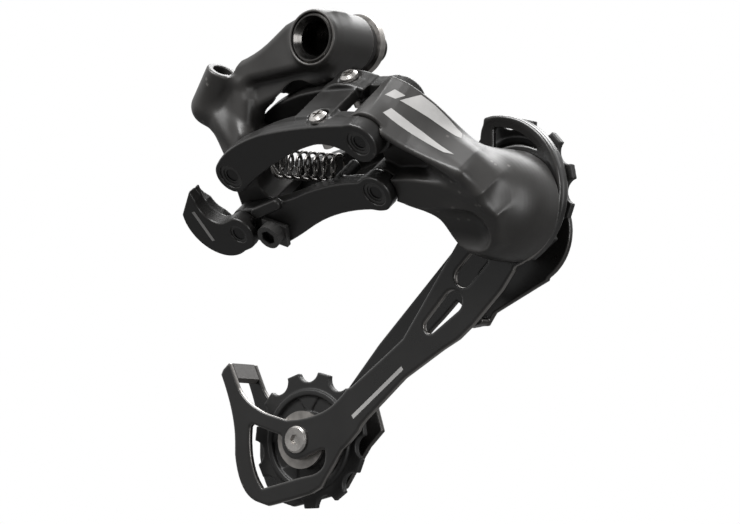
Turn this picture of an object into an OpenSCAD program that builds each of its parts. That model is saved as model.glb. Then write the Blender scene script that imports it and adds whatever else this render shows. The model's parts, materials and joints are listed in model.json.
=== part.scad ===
// Rear derailleur, long cage, slanted parallelogram.
// Frame: origin on the hanger bolt axis at the hanger face. +X forward, +Y inboard, +Z up.
// The linkage is drawn in its own slanted frame: local Z runs along the link pins,
// local X from the upper rear pivot to the upper front pivot, local Y down and inboard.

/* [Hanger bolt and B-knuckle] */
// radius of the threaded end of the hanger bolt
hanger_thread_r = 5; // [4:0.1:6]
// length of thread beyond the hanger face
hanger_thread_len = 8.5; // [6:0.5:12]
// outboard face of the knuckle boss, measured from the hanger face
boss_front = 25.5; // [18:0.5:32]
// outer radius of the knuckle boss
boss_r = 9.2; // [8.5:0.1:12]
// radius of the bolt barrel that the knuckle turns on
barrel_r = 7; // [5.5:0.1:7.5]
// radius of the cable housing seat in the stop
housing_r = 3.05; // [2.5:0.05:3.4]

/* [Linkage] */
// slant of the link pins above the horizontal
slant = 38.1; // [20:0.1:50]
// turn of the link pins about the vertical
skew = 7.3; // [-10:0.1:15]
// turn of the upper link about the pins, rest position
link_turn = -6.8; // [-20:0.1:20]
// distance between the pivots of one link
link_len = 60; // [45:0.5:75]
// position of the lower rear pivot, along the link
pivot_dx = -6; // [-12:0.5:4]
// distance of the lower pivots from the upper ones, across the link
pivot_dy = 17.6; // [12:0.1:24]
// radius of a link pin
pin_r = 3; // [2:0.1:3.4]
// outer radius of a pin bush
bush_r = 4.1; // [3.6:0.1:4.6]
// width of the link between its outer faces, along the pins
link_width = 28.6; // [22:0.1:34]
// thickness of each side plate of a link
link_plate = 5.6; // [3:0.1:7]

/* [Cage] */
// forward distance of the cage pivot from the hanger bolt
cage_pivot_x = 57; // [45:0.5:70]
// drop of the cage pivot below the hanger bolt
cage_pivot_z = -53.7; // [-70:0.1:-40]
// outboard face of the outer cage plate
cage_out = 2.5; // [1:0.1:6]
// thickness of a cage plate
plate_t = 2; // [1.2:0.1:3]
// free width between the cage plates
cage_gap = 11; // [9:0.1:13]
// guide pulley centre, from the hanger bolt
guide_x = 52.6; // [40:0.1:64]
// guide pulley height
guide_z = -47.5; // [-60:0.1:-36]
// tension pulley centre, from the hanger bolt
tension_x = -27; // [-50:0.5:0]
// tension pulley height
tension_z = -123; // [-140:0.5:-100]

/* [Pulleys] */
// number of teeth on each pulley
teeth = 11; // [9:1:15]
// chain pitch
pitch = 12.7; // [12:0.05:13]
// thickness of the teeth
tooth_t = 2.2; // [1.6:0.1:2.6]
// radius of a dust cap
cap_r = 9.2; // [7:0.1:11]

/* [Quality] */
// segments of round parts
round_fn = 64; // [48:8:128]

/* [Hidden] */
$fn = round_fn;
fit = 0.05;
gap = 0.3;
shoulder_r = hanger_thread_r + 0.6;
angle_screw_y = -6.2;
angle_screw_z = -13;
black = [0.07, 0.07, 0.075];
dark = [0.12, 0.12, 0.125];
steel = [0.62, 0.62, 0.6];
plastic = [0.05, 0.05, 0.05];
z0 = -0.6;
z1 = z0 + link_plate;
z3 = z0 + link_width;
z2 = z3 - link_plate;
knuckle_z0 = z1 + gap;
knuckle_z1 = z2 - gap;
ul = [0, 0];
ur = [link_len, 0];
ll = [pivot_dx, pivot_dy];
lr = [link_len + pivot_dx, pivot_dy];
cage_in = cage_out + plate_t;
inner_out = cage_in + cage_gap;
mid_y = cage_in + cage_gap / 2;
pitch_r = pitch / (2 * sin(180 / teeth));
tip_r = pitch_r - 1.15;
roller_r = 4.05;
pulley_bolt_r = 2.5;
sleeve_r = 4;
// distance of the pockets from the centre of a pulley
pocket_at = 11.9;

// ---------- helpers ----------
function bez(a, b, c, n = 8) =
    [for (i = [0:n]) let (t = i / n) (1 - t) * (1 - t) * a + 2 * t * (1 - t) * b + t * t * c];
function polar(c, r, a) = [c.x + r * cos(a), c.y + r * sin(a)];
function turned(v, a) = [v.x * cos(a) - v.y * sin(a), v.x * sin(a) + v.y * cos(a)];
function arc(c, r, a0, a1, n = 12) = [for (i = [0:n]) polar(c, r, a0 + (a1 - a0) * i / n)];

// flat bar between two round ends
module bar2(a, ra, b, rb, n = 14)
{
    ang = atan2(b.y - a.y, b.x - a.x);
    t = acos((ra - rb) / norm(b - a));
    polygon(concat(arc(a, ra, ang + t, ang + 360 - t, n), arc(b, rb, ang - t, ang + t, n)));
}

// children drawn in the slanted linkage frame
module slanted()
{
    translate([-31, -26, -41.3]) rotate([slant - 90, 0, -skew]) rotate([0, 0, link_turn]) children();
}

// cylinder along the pins between two levels
module along_pin(p, r, za, zb)
{
    translate([p.x, p.y, za]) cylinder(r = r, h = zb - za);
}

// extrusion along the pins between two levels
module slab(za, zb)
{
    translate([0, 0, za]) linear_extrude(zb - za) children();
}

// cylinder along +Y from y = a to y = b
module along_y(x, z, r, a, b)
{
    translate([x, a, z]) rotate([-90, 0, 0]) cylinder(r = r, h = b - a);
}

// extrusion along +Y of an outline drawn in X and Z
module plate_y(a, b)
{
    translate([0, b, 0]) rotate([90, 0, 0]) linear_extrude(b - a) children();
}

// revolve about the Y axis through (x, z); profile is drawn as [radius, y]
module revolve_y(x, z)
{
    translate([x, 0, z]) rotate([-90, 0, 0]) rotate_extrude() children();
}

// closed wire along a list of points, round section
module wire(path, r, n = 10)
{
    m = len(path);
    tang = [for (i = [0:m - 1])
        let (d = path[min(i + 1, m - 1)] - path[max(i - 1, 0)]) d / norm(d)];
    side = [for (i = [0:m - 1])
        let (c = cross(tang[i], [0.13, 0.21, 0.97])) c / norm(c)];
    up = [for (i = [0:m - 1]) cross(side[i], tang[i])];
    pts = [for (i = [0:m - 1], j = [0:n - 1])
        path[i] + r * cos(360 * j / n) * side[i] + r * sin(360 * j / n) * up[i]];
    one = [for (i = [0:m - 2], j = [0:n - 1])
        [i * n + j, (i + 1) * n + j, (i + 1) * n + (j + 1) % n]];
    two = [for (i = [0:m - 2], j = [0:n - 1])
        [i * n + j, (i + 1) * n + (j + 1) % n, i * n + (j + 1) % n]];
    ends = [[for (j = [0:n - 1]) j], [for (j = [0:n - 1]) (m - 1) * n + n - 1 - j]];
    polyhedron(points = pts, faces = concat(one, two, ends), convexity = 10);
}

// ---------- fixed to the hanger ----------
module hanger_bolt()
{
    color(black)
    difference() {
        revolve_y(0, 0)
            polygon([[0, -boss_front], [7.3, -boss_front], [7.8, -boss_front + 0.5], [7.8, -22.8],
                [barrel_r, -22.8], [barrel_r, -2.6], [shoulder_r, -2.6], [shoulder_r, 0],
                [hanger_thread_r, 0], [hanger_thread_r, hanger_thread_len - 1],
                [hanger_thread_r - 1, hanger_thread_len],
                [0, hanger_thread_len]]);
        revolve_y(0, 0)
            polygon([[0, -boss_front - 1], [7.1, -boss_front - 1], [6.9, -boss_front],
                [5.5, -boss_front + 2.2], [5.5, -13], [0, -13]]);
        translate([0, -14, 0]) rotate([-90, 0, 0]) cylinder(r = 3.46, h = 8, $fn = 6);
    }
}

module hanger_washer()
{
    color(steel)
    difference() {
        union() {
            along_y(0, 0, 9.8, -2.5, 0);
            // tab that the angle screw bears on
            translate([-2, -2.5, -16.4]) cube([5, 2.5, 9]);
            translate([-2, -9.6, -16.4]) cube([2, 9, 6.4]);
        }
        along_y(0, 0, shoulder_r, -3, 1);
    }
}

module seal_ring()
{
    color(plastic)
    difference() {
        along_y(0, 0, 8.4, -5, -2.6);
        along_y(0, 0, barrel_r, -6, -1);
    }
}

// ---------- B-knuckle ----------
stop_top = [-37.8, -22, -7];
stop_dir = [0.53, -0.18, 0.83];
stop_seat = 9;

module along_stop(r1, r2, a, b)
{
    k = norm(stop_dir);
    translate(stop_top)
        rotate([0, acos(stop_dir.z / k), atan2(stop_dir.y, stop_dir.x)])
            translate([0, 0, a]) cylinder(r1 = r1, r2 = r2, h = b - a);
}

module b_knuckle()
{
    color(black)
    difference() {
        union() {
            revolve_y(0, 0)
                polygon([[0, -25.5], [8.7, -25.5], [boss_r, -25], [boss_r, -6], [8.8, -5.3], [0, -5.3]]);
            // arm from the boss to the cable stop
            hull() {
                along_y(0.5, -0.5, 8, -23.5, -12, $fn = 32);
                translate([-31, -19.5, -10.5]) sphere(4.6, $fn = 32);
                translate([-30, -15, -13]) sphere(4.4, $fn = 32);
            }
            // cable stop and its root
            along_stop(6.4, 5.1, -13, 0);
            hull() {
                along_stop(5.6, 4.6, -12, -2, $fn = 32);
                translate([-30, -17.5, -11]) sphere(4.6, $fn = 32);
            }
            // leg down to the pivot lugs
            hull() {
                translate([-44.5, -19, -18]) sphere(5.2, $fn = 32);
                translate([-31, -15.5, -13.5]) sphere(4.2, $fn = 32);
                slanted() translate([0.6, -9, 14]) sphere(5.2, $fn = 32);
            }
            slanted() {
                slab(knuckle_z0, knuckle_z1)
                    difference() {
                        union() {
                            bar2(ul, 5.6, ll, 5.6);
                            polygon([[-4, 0], [1, 18], [5, 14], [5, 0]]);
                        }
                        translate([7.4, 9]) circle(5.2);
                    }
                // upper part of the leg
                slab(9, knuckle_z1) bar2(ul, 5.5, [1, -9], 4.9);
            }
            // lug for the angle screw
            hull() {
                translate([-15, angle_screw_y, angle_screw_z]) rotate([0, 90, 0])
                    cylinder(r = 3.2, h = 8, $fn = 32);
                translate([-11.5, -10.5, -8]) cube([5.5, 4, 3]);
            }
        }
        along_y(0, 0, 8.1, -26, -22.4);
        along_y(0, 0, 8, -23, -5);
        along_stop(housing_r, housing_r, -stop_seat, 0.1);
        along_stop(1, 1, -20, 0);
        along_stop(4.9, 4.9, 0, 12);
        slanted() {
            along_pin(ul, pin_r, 0, 30);
            along_pin(ll, pin_r, 0, 30);
        }
        // clearance over the upper link
        slanted() slab(-3, z1 + gap) bar2(ul, 7.5, [20, -6], 9);
        slanted() slab(z2 - gap, z3 + 1) bar2(ul, 7.5, [20, -6], 9);
        translate([-18, angle_screw_y, angle_screw_z]) rotate([0, 90, 0])
            cylinder(r = 1.6 + fit, h = 14);
    }
}

module b_bushing()
{
    color(steel)
    difference() {
        along_y(0, 0, 8, -22.4, -5.3);
        along_y(0, 0, barrel_r + fit, -23, -5);
    }
}

module b_adjust_screw()
{
    color(steel)
    translate([-22.4, angle_screw_y, angle_screw_z]) rotate([0, 90, 0])
    difference() {
        union() {
            cylinder(r = 1.6, h = 20);
            cylinder(r1 = 2.4, r2 = 3, h = 1.2);
            translate([0, 0, 1.2]) cylinder(r = 3, h = 1.2);
        }
        translate([-0.4, -1.8, -1]) cube([0.8, 3.6, 2.2]);
        translate([-1.8, -0.4, -1]) cube([3.6, 0.8, 2.2]);
    }
}

// ---------- link pins and bushes ----------
// depth of the pin ends below the faces of the link, and of the bushes
recess = 1;
bush_recess = 0.6;

module pin_body(p)
{
    difference() {
        along_pin(p, pin_r, z0 + recess, z3 - recess);
        along_pin(p, 2.2, z0, z0 + recess + 0.3);
    }
}

module pin_upper_rear()
{
    color(dark) slanted() pin_body(ul);
}

module pin_lower_rear()
{
    color(dark) slanted() difference() {
        along_pin(ll, pin_r, -5.2, z3 - recess);
        along_pin(ll, 2.2, -6, -4.9);
    }
}

module pin_upper_front()
{
    color(dark) slanted() pin_body(ur);
}

module pin_lower_front()
{
    color(dark) slanted() pin_body(lr);
}

module bush(p, za, zb)
{
    difference() {
        along_pin(p, bush_r, za, zb);
        along_pin(p, pin_r + fit, za - 1, zb + 1);
    }
}

module upper_link_bushes()
{
    color(steel) slanted() {
        bush(ul, z0 + bush_recess, z1);
        bush(ul, z2, z3 - bush_recess);
        bush(ur, z0 + bush_recess, z1);
        bush(ur, z2, z3 - bush_recess);
    }
}

module lower_link_bushes()
{
    color(steel) slanted() {
        bush(ll, z0 + bush_recess, z1);
        bush(ll, z2, z3 - bush_recess);
        bush(lr, z0 + bush_recess, z1);
        bush(lr, z2, z3 - bush_recess);
    }
}

// ---------- upper link ----------
module upper_link_outline()
{
    translate(ul) circle(5.9);
    translate(ur) circle(6.6);
    polygon(concat(
        bez([-4.2, -4.2], [4, -10.5], [22, -11.2]),
        bez([22, -11.2], [40, -10.8], [ur.x + 1, -6.5]),
        [[ur.x, 6.6]],
        bez([ur.x - 3, 5.9], [50, -2.8], [42, -3.1]),
        bez([42, -3.1], [26, -3.2], [2.6, 5.3])));
}

// places of the two limit screws in the linkage frame, and their lean
screw_high = [44, -4, 4.2];
screw_low = [44, -6, 23.6];
screw_lean = 14;
screw_r = 1.95;
screw_head_r = 2.9;

module screw_seat(p)
{
    translate(p) rotate([90, 0, 0]) rotate([0, screw_lean, 0]) children();
}

// hole for a limit screw, with a pocket for its head above the given depth
module screw_hole(pocket)
{
    translate([0, 0, -8]) cylinder(r = screw_r + fit, h = 20);
    translate([0, 0, pocket]) cylinder(r = screw_head_r + 0.7, h = 10);
}

module upper_link()
{
    color(black) slanted()
    difference() {
        union() {
            slab(z0, z1) upper_link_outline();
            slab(z2, z3) upper_link_outline();
            // web that ties the plates and carries the limit screws
            slab(z1 - 1, z2 + 1)
                polygon([[36, -12], [50.5, -9.6], [50, -6.2], [36, -8]]);
            slab(z0, z0 + 9)
                polygon(concat(
                    bez([8, -8.2], [32, -14.2], [52, -8.6]),
                    bez([51, -6.2], [32, -9.8], [10, -5.4])));
            slab(z3 - 9, z3)
                polygon(concat(bez([33, -10], [42, -16.5], [53, -8.4]), [[50, -5], [34, -5]]));
        }
        for (p = [ul, ur]) along_pin(p, bush_r, z0 - 1, z3 + 1);
        screw_seat(screw_high) screw_hole(5.3);
        screw_seat(screw_low) screw_hole(5.7);
        // relief in the lower face of the web
        along_pin([43, -0.5], 5.4, z1 + 1.5, z2 - 1.5);
    }
}

module limit_screw()
{
    difference() {
        union() {
            translate([0, 0, -4.5]) cylinder(r = screw_r, h = 10.5);
            translate([0, 0, 5.4]) cylinder(r = screw_head_r, h = 1.1);
            translate([0, 0, 6.5]) cylinder(r1 = screw_head_r, r2 = 2, h = 0.8);
        }
        translate([-0.4, -1.7, 6.2]) cube([0.8, 3.4, 2]);
        translate([-1.7, -0.4, 6.2]) cube([3.4, 0.8, 2]);
    }
}

module limit_screw_high()
{
    color(steel) slanted() screw_seat(screw_high) limit_screw();
}

module limit_screw_low()
{
    color(steel) slanted() screw_seat(screw_low) translate([0, 0, 0.4]) limit_screw();
}

// ---------- lower link ----------
module lower_link_outline()
{
    translate(ll) circle(5.8);
    translate(lr) circle(6);
    polygon(concat(
        bez([ll.x + 2, ll.y - 5.4], [14, 13.4], [26, 11.6]),
        bez([26, 11.6], [40, 10.4], [lr.x - 3.6, lr.y - 4.8]),
        [[lr.x + 1, lr.y + 5.9]],
        bez([lr.x - 2, lr.y + 5.6], [36, 19.4], [20, 23.6]),
        bez([20, 23.6], [12, 25.8], [5, 27]),
        [[0, 25.4], [ll.x, ll.y + 5.8]]));
}

module lower_link()
{
    color(black) slanted()
    difference() {
        union() {
            slab(z0, z1) lower_link_outline();
            slab(z2, z3) lower_link_outline();
            // web along the lower edge
            slab(z1 - 1, z2 + 1)
                polygon(concat(
                    bez([3.4, 26.8], [20, 25.4], [30, 21.6]),
                    bez([30, 21.6], [38, 20.2], [44.6, 20.6]),
                    [[44.2, 18.4]],
                    bez([40, 17.6], [30, 18], [16, 21.4]),
                    [[5.6, 24]]));
            // stop bar for the cable above the clamp
            hull() {
                along_pin([2.6, 13.6], 1.7, -2.4, z0 + 0.5);
                along_pin([13, 12.4], 1.7, -2.4, z0 + 0.5);
            }
            // post for the return spring
            along_pin([38.5, 12.4], 2, z1 - 1, 13);
        }
        for (p = [ll, lr]) along_pin(p, bush_r, z0 - 1, z3 + 1);
        along_pin([6, 21], 2.5, z0 - 1, z1 + 4);
    }
}

fin_c = [-12.4, 11.4];
fin_r = 13.2;
fin_tip = [-15.7, -0.7];
fin_spike = [-14.4, -1.2];
link_travel = 40;

module cable_fin()
{
    color(black) slanted()
    difference() {
        union() {
            // front cheek and boss, in front of the link
            slab(-5.6, z0 - 0.05)
                polygon(concat([fin_tip],
                    arc(fin_c, fin_r, -157, -290, 22),
                    arc(ll, 6, 75, -75, 12),
                    arc([-9.2, 5.6], 7, 95, 200, 12)));
            // rear cheek, beside the link
            slab(z0 - 0.1, 2)
                polygon(concat([fin_spike, [-19.3, 1.5]],
                    arc(fin_c, fin_r, -148, -258, 18),
                    arc(ll, 6.4, 136, 206, 6),
                    arc([-9.2, 5.6], 7, 128, 200, 8)));
        }
        // cable groove round the edge
        translate([fin_c.x, fin_c.y, -1.8]) rotate_extrude() translate([fin_r + 0.3, 0]) circle(1.3);
        along_pin(ll, pin_r + fit, -8, 4);
        // room for the rear end of the upper link as the links fold
        slab(z0 - gap, 3)
            for (a = [10:10:link_travel])
                translate(ll + turned(ul - ll, -a)) circle(6.3);
    }
}

module clamp_plate()
{
    color(dark) slanted()
    difference() {
        translate([6, 21, -2.4]) rotate([0, 0, 32]) translate([-4.4, -3.4, 0]) cube([9, 8, 1.75]);
        along_pin([6, 21], 2.5 + fit, -4, 1);
        translate([6, 21, -0.9]) rotate([0, 0, 32]) translate([-6, -3.7, 0]) cube([12, 1.6, 1]);
    }
}

module clamp_bolt()
{
    color(black) slanted()
    difference() {
        union() {
            along_pin([6, 21], 2.5, -3, z1 + 2);
            along_pin([6, 21], 4, -5.8, -2.45);
        }
        translate([6, 21, -7]) cylinder(r = 2.6, h = 3.2, $fn = 6);
    }
}

spring_a = [5.6, 3.2, 10.9];
spring_b = [38.5, 12.4, 10.9];

module return_spring()
{
    r = 4.7;
    dir = (spring_b - spring_a) / norm(spring_b - spring_a);
    nrm = [-dir.y, dir.x, 0];
    len_c = norm(spring_b - spring_a);
    turns = 8;
    steps = 20;
    a0 = 2.4;
    a1 = 3.9;
    coil = [for (i = [0:turns * steps])
        let (t = i / (turns * steps), a = 360 * i / steps)
        spring_a + dir * (a0 + t * (len_c - a0 - a1)) + nrm * r * cos(a) + [0, 0, 1] * r * sin(a)];
    lead = [spring_a - dir * 0.4, spring_a + dir * 0.8, spring_a + dir * 1.8 + nrm * 2.6];
    // hook round the post of the lower link
    tail = concat([spring_b - dir * 2.6 + nrm * 3.9, spring_b - dir * 1.3 + nrm * 3.1],
        [for (a = [80:-20:-60]) spring_b + 2.85 * (dir * cos(a) + nrm * sin(a))]);
    color(steel) slanted() wire(concat(lead, coil, tail), 0.5, 8);
}

// ---------- P-knuckle ----------
// stop pin, from the cage pivot
stop_pin = [-10.6, 11.4];
stop_pin_r = 1;

module p_knuckle()
{
    px = cage_pivot_x;
    pz = cage_pivot_z;
    color(black)
    difference() {
        union() {
            // domed spring housing
            revolve_y(px, pz)
                polygon(concat([[0, 1.9], [17, 1.9], [17.2, 1.4]],
                    bez([17.2, -4], [17, -12.5], [12.5, -17.5]),
                    bez([12.5, -17.5], [8, -21.8], [0, -22.2])));
            // neck
            hull() slanted() {
                along_pin([65, 2.4], 5.5, 3.2, 6, $fn = 32);
                along_pin([65.6, 0.5], 5.8, 19, 22, $fn = 32);
                along_pin([72, 10.6], 5.5, 3.4, 6, $fn = 32);
                along_pin([71.6, 6], 7, 19, 22, $fn = 32);
            }
            hull() {
                slanted() along_pin([72, 10.6], 5.5, 3.4, 6, $fn = 32);
                slanted() along_pin([71.6, 6], 7, 19, 21.6, $fn = 32);
                translate([px - 3.4, -10.4, pz + 2.6]) sphere(12.6, $fn = 28);
            }
            // lower horn
            hull() {
                slanted() along_pin([61, 18.8], 3.7, 2.8, 20, $fn = 32);
                slanted() along_pin([70, 24.5], 4.4, 2.4, 19, $fn = 32);
                translate([px - 6.4, -10.5, pz - 1.5]) sphere(10.4, $fn = 28);
            }
            // pivot lugs
            slanted() slab(knuckle_z0, knuckle_z1) {
                bar2(ur, 7.6, [66, 2], 5.6);
                bar2(lr, 5.7, [62, 19.4], 4.6);
                polygon([[57, 4], [64, 0], [68, 12], [64, 22], [55, 13]]);
            }
        }
        slanted() {
            along_pin(ur, pin_r, 0, 30);
            along_pin(lr, pin_r, 0, 30);
            // room for the link ends
            slab(-12, z1 + gap) {
                bar2(ur, 7.1, [20, 0], 14);
                bar2(lr, 6.5, [20, 14], 14);
            }
            slab(z2 - gap, 45) {
                bar2(ur, 7.1, [20, 0], 14);
                bar2(lr, 6.5, [20, 14], 14);
            }
            // recess between the neck and the horn
            slab(-14, 9)
                polygon([[60, 8.4], [66, 7.2], [76, 15.8], [82, 19.4], [76, 19.6], [66, 16.2], [60, 14.4]]);
            // scoop under the horn
            translate([75, 36.6, -3.4]) sphere(8.4);
        }
        // stop pin hole, spring room and shaft bore
        along_y(px + stop_pin.x, pz + stop_pin.y, stop_pin_r, -4, 3);
        revolve_y(px, pz) polygon([[7.4, -9.6], [13.6, -9.6], [13.6, 3], [7.4, 3]]);
        along_y(px, pz, 6, -16, 4);
    }
}

module p_bushing()
{
    color(steel)
    difference() {
        along_y(cage_pivot_x, cage_pivot_z, 6, -15.6, 1.9);
        along_y(cage_pivot_x, cage_pivot_z, shaft_r + fit, -17, 3);
    }
}

module p_seal_ring()
{
    color(plastic)
    difference() {
        along_y(cage_pivot_x, cage_pivot_z, 16.6, 1.9, 2.2);
        along_y(cage_pivot_x, cage_pivot_z, 13.6, 1, 3);
    }
}

module cage_spring()
{
    steps = 20;
    turns = 4;
    path = [for (i = [0:turns * steps])
        let (a = 360 * i / steps)
        [cage_pivot_x + 10.6 * cos(a), -8 + 8.2 * i / (turns * steps), cage_pivot_z + 10.6 * sin(a)]];
    color(steel) wire(path, 0.9, 8);
}

module cage_stop_pin()
{
    color(steel) along_y(cage_pivot_x + stop_pin.x, cage_pivot_z + stop_pin.y, stop_pin_r, -4, 1.9);
}

// ---------- cage ----------
ring_c = [49.5, -49.2];
shaft_r = 5;
pivot_c = [cage_pivot_x, cage_pivot_z];
guide_c = [guide_x, guide_z];
tension_c = [tension_x, tension_z];
arm_dir = (tension_c - guide_c) / norm(tension_c - guide_c);

module slot(c, length, r)
{
    bar2(c - arm_dir * (length / 2 - r), r, c + arm_dir * (length / 2 - r), r * 0.999);
}

module tail_outline()
{
    polygon(concat(
        bez([-7, -107.8], [-15, -116.6], [-31, -116.7], 6),
        bez([-38.7, -114.6], [-47.4, -111.4], [-50.6, -106], 6),
        [[-54.4, -97.6], [-57, -99.8]],
        bez([-57.8, -101.4], [-52.2, -114], [-52.1, -123], 6),
        bez([-52.1, -127.3], [-50.4, -140.4], [-42.6, -142.6], 8),
        bez([-38.6, -143.8], [-32, -142.6], [-21.6, -140.3], 4),
        bez([-17.4, -138.2], [-14.2, -133.4], [-8.3, -125.4], 6),
        [[-3, -120.5]]));
}

module tail_window()
{
    difference() {
        polygon(concat(
            bez([-45.8, -118.4], [-46.8, -129], [-42.8, -135.6], 6),
            bez([-41, -138.2], [-36, -137.2], [-26, -135], 4),
            bez([-21, -134.2], [-14.8, -132.6], [-16, -126.4], 4),
            [[-22, -124], [-33.5, -121.4]],
            bez([-37.1, -120.3], [-41.8, -118.7], [-44.8, -117.6], 3)));
        translate(tension_c) circle(6.3);
        polygon([[-24, -128.6], [-15, -125.6], [-14, -118], [-30, -118]]);
    }
}

module outer_arm_outline()
{
    difference() {
        translate(ring_c) circle(24);
        polygon([[20, -20], [43.9, -20], [43.9, -32], [39, -38], [37, -62], [28, -80], [10, -80]]);
    }
    polygon([[38.8, -36], [36.4, -62], [14.3, -92.6], [5.8, -98.8], [-6.8, -107.7], [-17, -117.5],
        [-8.3, -125.4], [0.2, -117.2], [15, -104.9], [29.6, -96.5], [35.6, -93.5], [41, -89.3],
        [51.8, -79], [56.2, -73.3], [60, -60]]);
}

module cage_outer_plate()
{
    color(black)
    difference() {
        union() {
            plate_y(cage_out, cage_in)
                difference() {
                    union() {
                        outer_arm_outline();
                        tail_outline();
                    }
                    tail_window();
                    slot([40.6, -71.4], 15, 3.4);
                    bar2([33.4, -81.8], 3.6, [24.8, -89], 2.4);
                    // crescent window over the guide pulley
                    difference() {
                        translate(ring_c) circle(20.2);
                        translate(pivot_c) circle(19);
                        translate([20, -90]) square([28.8, 80]);
                        translate([40, -95]) square([60, 42]);
                    }
                }
            // rolled rim round the guide pulley
            plate_y(cage_in - 0.2, cage_in + 2.9)
                difference() {
                    translate(ring_c) circle(24);
                    translate(ring_c) circle(22.2);
                    polygon([ring_c, ring_c + [-8, 34], ring_c + [-60, 34], ring_c + [-60, -20],
                        ring_c + [0, -60]]);
                    polygon([ring_c, ring_c + [0, -60], ring_c + [14, -40]]);
                }
        }
        along_y(cage_pivot_x, cage_pivot_z, shaft_r, 0, 8);
        along_y(guide_x, guide_z, pulley_bolt_r, 0, 9);
        along_y(tension_x, tension_z, pulley_bolt_r, 0, 9);
    }
}

module inner_outline()
{
    translate([52, -60.5]) circle(16.5);
    bar2(guide_c, 10.5, [52, -60.5], 16.5);
    polygon([[43, -42], [38, -56], [25, -64.2], [-4.4, -93], [-17, -107], [-24, -117],
        [-20, -129], [-12, -118], [-2, -107.5], [8, -97], [16.3, -89.1], [20.3, -85.8],
        [26, -80.6], [29, -83], [31, -87.5], [37.4, -88.8], [40.2, -84.9], [60, -75.6]]);
}

module cage_inner_plate()
{
    color(black)
    difference() {
        union() {
            plate_y(inner_out, inner_out + plate_t)
                difference() {
                    union() {
                        inner_outline();
                        tail_outline();
                    }
                    tail_window();
                    slot([40.6, -71.4], 15, 3.4);
                }
            // folded tab below the guide pulley
            plate_y(inner_out - 4, inner_out + 0.2)
                bar2([32.4, -88.1], 1.2, [37.2, -87.4], 1.2);
        }
        along_y(guide_x, guide_z, pulley_bolt_r, 10, 20);
        along_y(tension_x, tension_z, pulley_bolt_r, 10, 20);
    }
}

module cage_tie()
{
    color(black)
    plate_y(cage_in, inner_out)
        polygon([[-54.4, -97.8], [-52.2, -102.6], [-53.6, -104], [-56.6, -99.7]]);
}

module cage_shaft()
{
    color(steel)
    difference() {
        along_y(cage_pivot_x, cage_pivot_z, shaft_r, -15, cage_in);
        translate([cage_pivot_x, cage_in - 3, cage_pivot_z]) rotate([-90, 0, 0])
            cylinder(r = 2.9, h = 6, $fn = 6);
    }
}

// bolt head with a hex recess, growing towards -Y from y = 0
module pulley_bolt_head()
{
    difference() {
        revolve_y(0, 0) polygon([[0, -1.2], [3.7, -1.2], [4.3, -0.6], [4.3, 0], [0, 0]]);
        translate([0, -2, 0]) rotate([-90, 0, 0]) cylinder(r = 1.75, h = 1.7, $fn = 6);
    }
}

module pulley_bolts()
{
    color(steel) {
        // the guide bolt goes in from the inner side, behind the knuckle
        along_y(guide_x, guide_z, pulley_bolt_r, cage_out, inner_out + plate_t);
        translate([guide_x, inner_out + plate_t, guide_z]) mirror([0, 1, 0]) pulley_bolt_head();
        // the tension bolt goes in from the outer side
        along_y(tension_x, tension_z, pulley_bolt_r, cage_out, inner_out + plate_t + 0.4);
        translate([tension_x, cage_out, tension_z]) pulley_bolt_head();
    }
}

// ---------- pulleys ----------
module pulley_outline(phase)
{
    // arc of the roller seat, up to the tip of the tooth
    half_seat = acos((pitch_r - tip_r) / roller_r);
    polygon([for (i = [0:teeth - 1], k = [-5:5])
        let (b = half_seat * k / 5,
             along = pitch_r - roller_r * cos(b),
             off = roller_r * sin(b))
        polar([0, 0], norm([along, off]), phase + i * 360 / teeth + atan2(off, along))]);
}

module pulley(c, phase)
{
    difference() {
        union() {
            plate_y(mid_y - tooth_t / 2, mid_y + tooth_t / 2)
                translate(c) pulley_outline(phase);
            along_y(c.x, c.y, 16, mid_y - 1.9, mid_y + 1.9);
            along_y(c.x, c.y, 8, mid_y - 4, mid_y + 4);
        }
        along_y(c.x, c.y, sleeve_r + fit, 0, 20);
        // pockets between the spokes, from both sides of a thin web
        for (i = [0:4], side = [-1, 1])
            let (p = polar(c, pocket_at, phase + 36 + i * 72), y = mid_y + side * 3)
            along_y(p.x, p.y, 2.5, y - 2.3, y + 2.3);
    }
}

module guide_pulley()
{
    color(plastic) pulley(guide_c, 93.4);
}

module tension_pulley()
{
    color(plastic) pulley(tension_c, 91.1);
}

module sleeve(c)
{
    difference() {
        along_y(c.x, c.y, sleeve_r, cage_in, inner_out);
        along_y(c.x, c.y, pulley_bolt_r, 0, 20);
    }
}

module pulley_sleeves()
{
    color(steel) {
        sleeve(guide_c);
        sleeve(tension_c);
    }
}

module cap(c, a, b)
{
    difference() {
        along_y(c.x, c.y, cap_r, a, b);
        along_y(c.x, c.y, sleeve_r, 0, 20);
    }
}

module dust_caps()
{
    color(steel)
    for (c = [guide_c, tension_c]) {
        cap(c, mid_y - 5.3, mid_y - 4.3);
        cap(c, mid_y + 4.3, mid_y + 5.3);
    }
}

hanger_bolt();
hanger_washer();
seal_ring();
b_knuckle();
b_bushing();
b_adjust_screw();
pin_upper_rear();
pin_lower_rear();
pin_upper_front();
pin_lower_front();
upper_link();
upper_link_bushes();
limit_screw_high();
limit_screw_low();
lower_link();
lower_link_bushes();
cable_fin();
clamp_plate();
clamp_bolt();
return_spring();
p_knuckle();
p_bushing();
p_seal_ring();
cage_spring();
cage_stop_pin();
cage_shaft();
cage_outer_plate();
cage_inner_plate();
cage_tie();
pulley_bolts();
pulley_sleeves();
dust_caps();
guide_pulley();
tension_pulley();
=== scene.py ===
import json
import math

import bpy
import numpy as np
from mathutils import Matrix, Vector


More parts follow.
